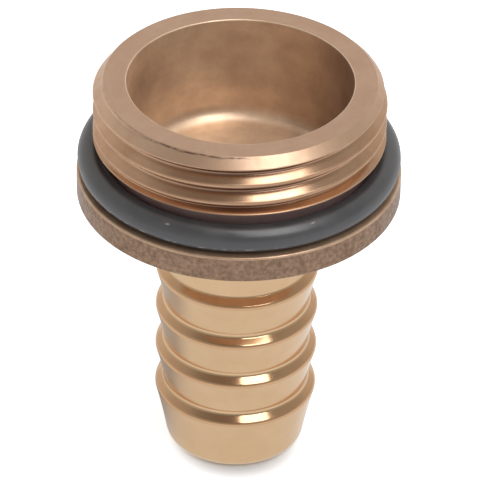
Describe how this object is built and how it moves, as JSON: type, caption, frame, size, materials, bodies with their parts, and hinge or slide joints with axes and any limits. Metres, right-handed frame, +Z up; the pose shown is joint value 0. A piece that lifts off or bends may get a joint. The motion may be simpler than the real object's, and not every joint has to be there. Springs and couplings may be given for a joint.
{
  "type": "hose barb tail",
  "caption": "Straight hose tail with a barbed hose end, a round flange with a rubber sealing ring and a male parallel-thread collar with an open cup.",
  "frame": {"origin": "centre of the nose end face, which the part stands on", "axes": "+Z up the waterway, from the nose to the threaded end; the part is the same all round Z"},
  "size_m": [0.0292, 0.0292, 0.0384],
  "materials": {
    "bronze": "turned and polished gunmetal, satin on the rim, as cast round the flange",
    "black_rubber": "matt moulded rubber"
  },
  "bodies": {
    "root": {"hose_tail_body": "bronze", "sealing_ring": "black_rubber"}
  },
  "joints": []
}
